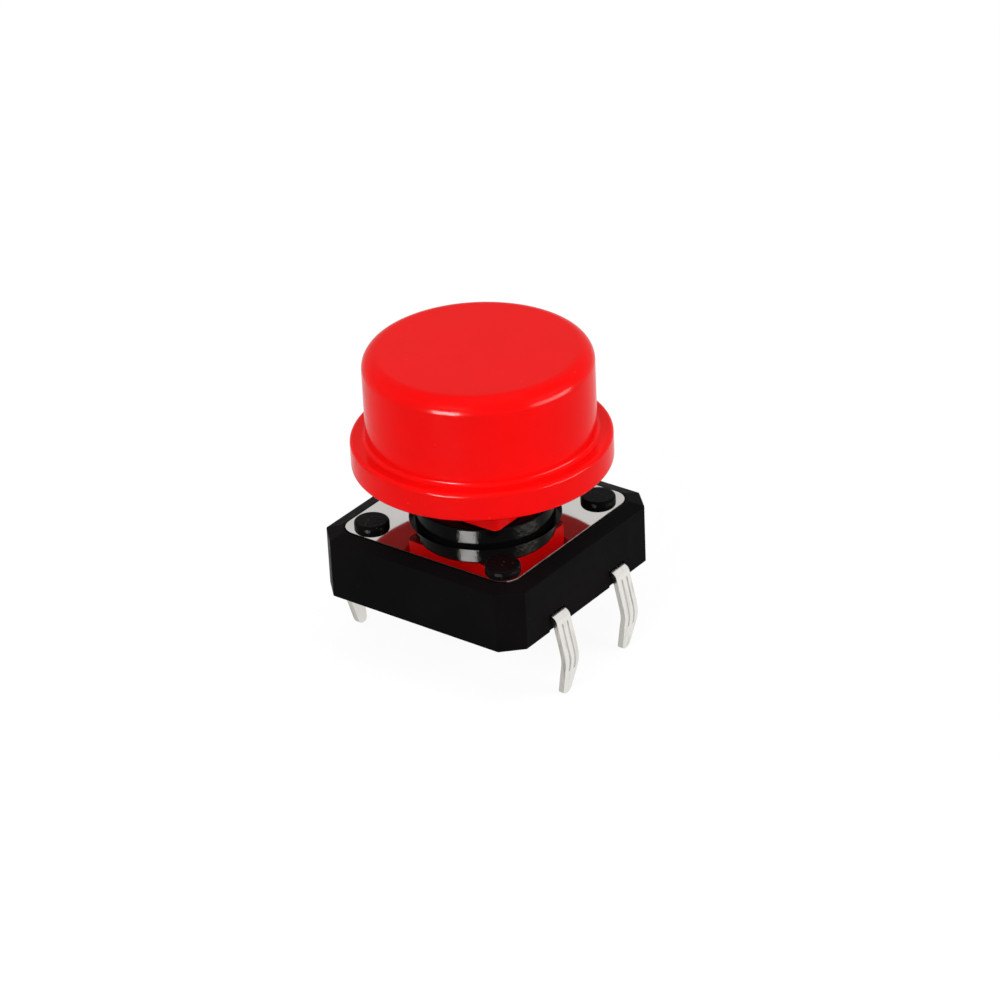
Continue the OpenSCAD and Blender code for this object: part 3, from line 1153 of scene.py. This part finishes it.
@dataclass
class Strip:
    """Stamped and tinned strip: a bar in the housing's floor, contacts and two legs."""

    finishes: Finishes
    name: str
    node: str
    row_y: float
    thick: float = 0.3
    middle_z: float = 0.72
    width: float = 1.1
    row_x: float = 6.25
    lean: float = 13.0
    kink_r: float = 2.0
    bend_r: float = 0.28
    tip_w: float = 0.72
    tip_taper: float = 1.6
    contact_w: float = 1.1
    edge_r: float = 0.04
    groove_at: float = 0.2
    groove_half: float = 0.06
    groove_d: float = 0.03
    groove_ramp: float = 0.15
    groove_bed: float = 0.6
    edge_steps: int = 3
    bend_steps: int = 10
    kink_steps: int = 16
    nose_steps: int = 6
    nose_end: float = 0.97
    side_normal: float = 0.75

    def __post_init__(self) -> None:
        """Works out the leg's course from its length and lean."""
        self.leg_len = -node_box(self.node)[0].z
        lean = math.radians(self.lean)
        self.bend_x = self.row_x - self.bend_r * math.cos(lean)
        self.run_top = self.middle_z - self.bend_r + self.bend_r * math.sin(lean)
        self.kink_z = (self.run_top - self.leg_len) / 2
        self.run = (self.run_top - self.kink_z) / math.cos(lean) - self.kink_r * math.tan(lean)
        self.kink_x = self.row_x + self.run * math.sin(lean) - self.kink_r * math.cos(lean)

    @property
    def top(self) -> float:
        """Height of the bar's upper side."""
        return self.middle_z + self.thick / 2

    def build(self) -> Object:
        """Models the strip and places it."""
        bm = bmesh.new()
        loop = self.section(bm)
        stops = self.contact_stops()
        for start, end in zip([0.0, *stops], [*stops, self.bend_x]):
            loop = drawn_on(bm, loop, Vector((end - start, 0.0, 0.0)))
        lean = math.radians(self.lean)
        out = Vector((math.sin(lean), 0.0, -math.cos(lean)))
        back = Vector((-math.sin(lean), 0.0, -math.cos(lean)))
        bend = Vector((self.bend_x, 0.0, self.middle_z - self.bend_r))
        loop = self.swept(bm, loop, bend, 90.0 - self.lean, self.bend_steps)
        for length in (self.groove_ramp, self.groove_ramp, self.run - 2 * self.groove_ramp):
            loop = drawn_on(bm, loop, out * length)
        kink = Vector((self.kink_x, 0.0, self.kink_z))
        loop = self.swept(bm, loop, kink, 2 * self.lean, self.kink_steps)
        round_len = self.tip_w / 2 / math.cos(lean)
        turn = math.pi / 2 / self.nose_steps
        nose = [
            round_len * (math.sin((step + 1) * turn) - math.sin(step * turn))
            for step in range(self.nose_steps)
        ]
        for length in (self.groove_ramp, self.run - round_len - self.groove_ramp, *nose):
            loop = drawn_on(bm, loop, back * length)
        fill_loop(bm, loop)
        self.coin_grooves(bm)
        self.shape_tip(bm)
        bmesh.ops.mirror(bm, geom=whole(bm), axis="X", merge_dist=MERGE_MM)
        merge(bm)
        self.raise_contacts(bm)
        self.dress(bm)
        bmesh.ops.translate(bm, verts=bm.verts[:], vec=(0.0, self.row_y, 0.0))
        return Piece(
            self.name, self.node, Body.HOUSING, "tinned_strip",
            [self.finishes.strip, self.finishes.sheared, self.finishes.groove],
        ).place(bm)

    def section(self, bm: BMesh) -> list[BMVert]:
        """Draws the strip's section with rounded corners at x = 0.

        Args:
            bm: Mesh that takes the section.

        Returns:
            The section's vertices.
        """
        turn = Matrix.Translation(up(self.middle_z)) @ Matrix.Rotation(math.pi / 2, 4, "Y")
        made = bmesh.ops.create_grid(bm, x_segments=1, y_segments=1, size=0.5, matrix=turn)
        bmesh.ops.scale(
            bm, verts=made["verts"], vec=(1.0, self.width, self.thick),
            space=Matrix.Translation(up(-self.middle_z)),
        )
        round_corners(bm, made["verts"], self.edge_r, self.edge_steps)
        loop = bm.verts[:]
        bmesh.ops.delete(bm, geom=bm.faces[:], context="FACES_ONLY")
        return loop

    def contact_stops(self) -> list[float]:
        """Gives the places along the bar where a contact starts or ends."""
        return []

    def raise_contacts(self, bm: BMesh) -> None:
        """Forms the strip's contacts; a plain strip has none."""

    def swept(
        self, bm: BMesh, loop: list[BMVert], centre: Vector, angle: float, steps: int
    ) -> list[BMVert]:
        """Sweeps the section down an arc in the XZ plane, by an angle in degrees."""
        made = bmesh.ops.spin(
            bm, geom=loop + loop_edges(loop), cent=centre, axis=Axis.Y.value,
            angle=math.radians(angle), steps=steps, use_merge=False, use_duplicate=False,
        )
        return verts_of(made["geom_last"])

    def outside(self, place: Vector) -> tuple[float, Vector]:
        """Sets a point against the leg's middle surface.

        Args:
            place: A point on the +X leg, below its bend.

        Returns:
            How far it lies outside that surface, and the way outwards there.
        """
        lean = math.radians(self.lean)
        away = Vector((place.x - self.kink_x, 0.0, place.z - self.kink_z))
        turn = max(-lean, min(lean, math.atan2(away.z, away.x)))
        out = Vector((math.cos(turn), 0.0, math.sin(turn)))
        return away.dot(out) - self.kink_r, out

    def groove_share(self, place: Vector) -> float:
        """Gives how much of the groove's depth is reached at a point's height."""
        fall = math.cos(math.radians(self.lean))
        start = self.run_top - self.groove_ramp * fall * 0.5
        end = 2 * self.kink_z - self.run_top + (self.run - self.groove_ramp) * fall
        length = self.groove_ramp * fall
        share = min((start - place.z) / length, (place.z - end) / length)
        return max(0.0, min(1.0, share))

    def coin_grooves(self, bm: BMesh) -> None:
        """Presses two grooves along the leg's outer face."""
        for side in SIGNS:
            for share in (-1.0, -0.5, 0.5, 1.0):
                line = side * (self.groove_at + share * self.groove_half)
                cut_at(bm, Axis.Y, line)
        for vert in bm.verts:
            depth, out = self.outside(vert.co)
            inside = abs(abs(vert.co.y) - self.groove_at) < self.groove_half * self.groove_bed
            if vert.co.x > self.row_x and inside and depth > self.thick / 2 - SKIN_MM:
                vert.co -= out * self.groove_d * self.groove_share(vert.co)

    def shape_tip(self, bm: BMesh) -> None:
        """Narrows and rounds the end of the leg."""
        shoulder = self.tip_taper - self.leg_len
        round_z = self.tip_w / 2 - self.leg_len
        cut_at(bm, Axis.Z, shoulder)
        for vert in bm.verts:
            z = max(vert.co.z, -self.leg_len)
            if z > shoulder or vert.co.x < self.bend_x:
                continue
            share = max(0.0, (z - round_z) / (shoulder - round_z))
            wide = self.tip_w + (self.width - self.tip_w) * share
            if z < round_z:
                depth = min(self.nose_end, (round_z - z) / (self.tip_w / 2))
                wide = self.tip_w * math.sqrt(1.0 - depth * depth)
            vert.co.y *= wide / self.width
            vert.co.z = z

    def dress(self, bm: BMesh) -> None:
        """Gives the sheared sides their own finish and paints shade into the grooves."""
        for face in bm.faces:
            middle = face.calc_center_median()
            place = Vector((abs(middle.x), middle.y, middle.z))
            depth, _ = self.outside(place)
            pressed = depth < self.thick / 2 - SKIN_MM and depth > 0.0
            lined = abs(abs(place.y) - self.groove_at) < self.groove_half
            if abs(face.normal.y) > self.side_normal and not lined:
                face.material_index = 1
            # Groove faces take the painted shade finish.
            elif place.x > self.row_x and pressed and lined and self.groove_share(place) > 0.0:
                face.material_index = 2


@dataclass
class CommonStrip(Strip):
    """Strip whose arm carries the contact under the dome's middle."""

    def contact_stops(self) -> list[float]:
        """Gives the edge of the arm."""
        return [self.contact_w / 2]

    def raise_contacts(self, bm: BMesh) -> None:
        """Draws an arm to the middle and raises its end."""
        half = self.contact_w / 2
        inner_y = -self.width / 2

        def on_side(face: BMFace) -> bool:
            middle = face.calc_center_median()
            return abs(middle.x) < half and abs(middle.y - inner_y) < NEAR_MM
        for offset in (-self.row_y + half, -self.row_y - half):
            side = [face for face in bm.faces if on_side(face)]
            drawn_to(bm, side, Axis.Y, offset)
            inner_y = offset
        low_y, high_y = -self.row_y - half, -self.row_y + half
        lid = [
            face for face in bm.faces
            if face.normal.z > FACE_UP and low_y < face.calc_center_median().y < high_y
        ]
        drawn_to(bm, lid, Axis.Z, node_box(self.node)[1].z)


@dataclass
class SwitchedStrip(Strip):
    """Strip whose two raised contacts carry the dome's rim."""

    contact_x: float = 3.045

    def contact_stops(self) -> list[float]:
        """Gives both edges of the contact."""
        half = self.contact_w / 2
        return [self.contact_x - half, self.contact_x + half]

    def raise_contacts(self, bm: BMesh) -> None:
        """Raises the bar's upper side into two contacts."""
        half = self.contact_w / 2
        lid = [
            face for face in bm.faces
            if abs(face.calc_center_median().z - self.top) < NEAR_MM
            and abs(abs(face.calc_center_median().x) - self.contact_x) < half
        ]
        drawn_to(bm, lid, Axis.Z, node_box(self.node)[1].z)


@dataclass
class ContactDome:
    """Thin snap dome that flattens under the plunger."""

    finishes: Finishes
    thick: float = 0.12
    steps: int = 96
    arc_steps: int = 18
    joint: str = "button_press"

    def build(self) -> Object:
        """Models the dome and places it."""
        low, high = node_box("contact_dome")
        rise, reach = high.z - low.z, high.x
        ball_r = (reach * reach + rise * rise) / (2 * rise)
        bm = bmesh.new()
        crown = bm.verts.new((0.0, 0.0, high.z))
        bmesh.ops.spin(
            bm, geom=[crown], cent=(0.0, 0.0, high.z - ball_r), axis=Axis.Y.value,
            angle=math.asin(reach / ball_r), steps=self.arc_steps, use_duplicate=False,
        )
        arc = bm.edges[:]
        bmesh.ops.spin(
            bm, geom=bm.verts[:] + arc, cent=(0.0, 0.0, 0.0), axis=Axis.Z.value,
            angle=math.tau, steps=self.steps, use_merge=True, use_duplicate=False,
        )
        merge(bm)
        crown_face = max(bm.faces, key=lambda face: face.calc_center_median().z)
        if crown_face.normal.z < 0:
            bmesh.ops.reverse_faces(bm, faces=bm.faces[:])
        bmesh.ops.solidify(bm, geom=bm.faces[:], thickness=self.thick)
        merge(bm)
        for vert in bm.verts:
            vert.co.z = max(vert.co.z, low.z)
        piece = Piece(
            "snap_dome", "contact_dome", Body.HOUSING, "dome_metal", [self.finishes.dome]
        ).place(bm)
        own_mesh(piece)
        return piece


# Studio

@dataclass
class Studio:
    """Pale floor, white surround, soft lamps and the photograph's camera."""

    azimuth: float = 37.59
    elevation: float = 28.90
    distance: float = 195.9
    roll: float = -2.69
    slide_right: float = -0.70
    slide_up: float = -0.90
    aim_height: float = 3.0
    lens: float = 144.0
    sensor: float = 36.0
    clip: tuple[float, float] = (0.005, 20.0)
    floor_size: float = 6000.0
    floor_colour: tuple[float, float, float, float] = (0.52, 0.52, 0.52, 1.0)
    floor_white: float = 1.15
    floor_glow: float = 0.8
    floor_in_gloss: float = 0.68
    surround_light: float = 0.3
    surround_in_gloss: float = 0.72

    def build(self) -> None:
        """Sets up the camera, the floor, the surround and the lamps."""
        self.camera()
        self.floor()
        self.surround()
        self.lamp("front_window", Lamp.LIGHT, 7.0, 29.0, 420.0, (200.0, 200.0), 0.97)
        self.lamp("side_window", Lamp.LIGHT, 107.0, 20.0, 420.0, (330.0, 200.0), 1.02)
        self.lamp("left_fill", Lamp.LIGHT, -70.0, 25.0, 500.0, (420.0, 420.0), 0.36)
        self.lamp("overhead", Lamp.LIGHT, 60.0, 80.0, 500.0, (420.0, 420.0), 0.72)
        self.only_on(("red_cap",), (
            self.lamp("front_glint", Lamp.GLINT, 7.0, 2.4, 60.0, (24.6, 17.0), 0.2),
            self.lamp("side_glint", Lamp.GLINT, 107.0, 2.4, 60.0, (46.0, 17.0), 0.075),
        ))
        self.only_on(("black_plunger", "steel_cover"), (
            self.lamp("collar_front_glint", Lamp.INNER_GLINT, 7.0, 26.0, 420.0, (170.0, 257.0), 15.0),
            self.lamp("collar_side_glint", Lamp.INNER_GLINT, 107.0, 12.0, 420.0, (330.0, 257.0), 3.5),
        ))

    @staticmethod
    def toward(azimuth: float, elevation: float) -> Vector:
        """Gives the direction from the object at an azimuth and elevation in degrees."""
        turn, rise = math.radians(azimuth), math.radians(elevation)
        return Vector((
            math.sin(turn) * math.cos(rise), -math.cos(turn) * math.cos(rise), math.sin(rise)
        ))

    def camera(self) -> None:
        """Places the camera where the photograph was taken from."""
        back = self.toward(self.azimuth, self.elevation)
        turn = math.radians(self.azimuth)
        right = Vector((math.cos(turn), math.sin(turn), 0.0))
        above = back.cross(right)
        tilt = math.radians(self.roll)
        across = right * math.cos(tilt) + above * math.sin(tilt)
        upright = above * math.cos(tilt) - right * math.sin(tilt)
        eye = up(self.aim_height) + back * self.distance
        eye -= across * self.slide_right + upright * self.slide_up
        data = bpy.data.cameras.new("photo_camera")
        data.lens, data.sensor_width = self.lens, self.sensor
        data.clip_start, data.clip_end = self.clip
        camera = linked("photo_camera", data)
        turned = Matrix((across, upright, back)).transposed().to_4x4()
        camera.matrix_world = Matrix.Translation(eye * MM) @ turned
        bpy.context.scene.camera = camera

    def floor(self) -> None:
        """Lays the pale floor that the legs stand on."""
        bm = bmesh.new()
        low = min(node_box("common_strip")[0].z, node_box("switched_strip")[0].z)
        bmesh.ops.create_grid(
            bm, x_segments=1, y_segments=1, size=self.floor_size / 2 * MM,
            matrix=Matrix.Translation(up(low * MM)),
        )
        mesh = bpy.data.meshes.new("floor")
        bm.to_mesh(mesh)
        bm.free()
        floor = linked("floor", mesh)
        mesh.materials.append(self.floor_finish())

    @staticmethod
    def seen(tree: NodeTree, in_gloss: float) -> NodeSocket:
        """Tells rays that end in the picture from those that carry light.

        Args:
            tree: Nodes that take the test.
            in_gloss: What a ray counts that comes by gloss or through glass.

        Returns:
            1 for a ray straight from the camera, in_gloss for one by gloss and 0 for light.
        """
        path = tree.nodes.new("ShaderNodeLightPath")
        total = path.outputs["Is Camera Ray"]
        for name in ("Is Glossy Ray", "Is Transmission Ray"):
            total = worked(tree, "MULTIPLY_ADD", path.outputs[name], in_gloss, total, clamp=True)
        return worked(tree, "MULTIPLY", total, Studio.unscattered(tree, path))

    @staticmethod
    def unscattered(tree: NodeTree, path: Node) -> NodeSocket:
        """Gives 1 for rays that have met no dull surface on their way."""
        return worked(tree, "LESS_THAN", path.outputs["Diffuse Depth"], FIRST_BOUNCE)

    def floor_finish(self) -> Material:
        """Makes the floor white to the eye while it keeps a soft shadow."""
        graph = Graph("floor_white")
        graph.set(Base_Color=self.floor_colour, Roughness=0.9, Specular_IOR_Level=0.0)
        glow = graph.node("ShaderNodeEmission")
        glow.inputs["Strength"].default_value = self.floor_white
        mix = graph.node("ShaderNodeMixShader")
        share = worked(graph.tree, "MULTIPLY", self.seen(graph.tree, self.floor_in_gloss), self.floor_glow)
        graph.wire(share, mix.inputs["Fac"])
        graph.wire(graph.shader.outputs["BSDF"], mix.inputs[1])
        graph.wire(glow.outputs["Emission"], mix.inputs[2])
        graph.wire(mix.outputs["Shader"], graph.tree.nodes["Material Output"].inputs["Surface"])
        return graph.material

    def surround(self) -> None:
        """Makes the surround white to the eye and softer as a light."""
        world = bpy.data.worlds.new("white_surround")
        bpy.context.scene.world = world
        world.use_nodes = True
        tree = world.node_tree
        share = tree.nodes.new("ShaderNodeMapRange")
        share.inputs["To Min"].default_value = self.surround_light
        share.inputs["To Max"].default_value = 1.0
        tree.links.new(self.seen(tree, self.surround_in_gloss), share.inputs["Value"])
        shade = tree.nodes["Background"]
        shade.inputs["Color"].default_value = (1.0, 1.0, 1.0, 1.0)
        tree.links.new(share.outputs["Result"], shade.inputs["Strength"])

    def lamp(
        self, name: str, use: Lamp, azimuth: float, elevation: float, distance: float,
        size: tuple[float, float], watts: float,
    ) -> Object:
        """Hangs a rectangular soft lamp that faces the switch.

        Args:
            name: The lamp's name.
            use: What the lamp does.
            azimuth: Direction from the switch, in degrees.
            elevation: Height above the horizon, in degrees.
            distance: Distance in millimetres.
            size: Width and height in millimetres.
            watts: Power.

        Returns:
            The lamp.
        """
        data = bpy.data.lights.new(name, "AREA")
        data.shape, data.size, data.size_y = "RECTANGLE", size[0] * MM, size[1] * MM
        data.energy = watts
        lamp = linked(name, data)
        away = self.toward(azimuth, elevation)
        lamp.location = (away * distance + up(self.aim_height)) * MM
        lamp.rotation_mode = "QUATERNION"
        lamp.rotation_quaternion = (-away).to_track_quat("-Z", "Y")
        lamp.visible_camera = False
        lamp.visible_diffuse = use is Lamp.LIGHT
        lamp.visible_glossy = use is not Lamp.LIGHT
        if use is not Lamp.LIGHT:
            data.use_nodes = True
            tree = data.node_tree
            path = tree.nodes.new("ShaderNodeLightPath")
            shown = self.unscattered(tree, path)
            if use is Lamp.INNER_GLINT:
                inner = worked(tree, "GREATER_THAN", path.outputs["Glossy Depth"], SECOND_BOUNCE)
                shown = worked(tree, "MULTIPLY", shown, inner)
            tree.links.new(shown, tree.nodes["Emission"].inputs["Strength"])
        return lamp

    @staticmethod
    def only_on(names: Sequence[str], lamps: Sequence[Object]) -> None:
        """Lets lamps show on the named pieces alone."""
        shown = bpy.data.collections.new("_".join(names))
        for name in names:
            shown.objects.link(bpy.data.objects[name])
        for lamp in lamps:
            lamp.light_linking.receiver_collection = shown


def main() -> None:
    """Builds the switch around its frame and lights it."""
    logging.basicConfig(level=logging.INFO, format="%(name)s: %(message)s")
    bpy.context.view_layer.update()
    finishes = Finishes.mixed()
    Housing(finishes).build()
    CoverPlate(finishes).build()
    Plunger(finishes).build()
    KeyCap(finishes).build()
    CommonStrip(finishes, "common_legs", "common_strip", 2.5).build()
    SwitchedStrip(finishes, "switched_legs", "switched_strip", -2.5).build()
    ContactDome(finishes).build()
    Studio().build()
    bpy.context.scene.view_settings.view_transform = "Standard"


if __name__ == "__main__":
    main()
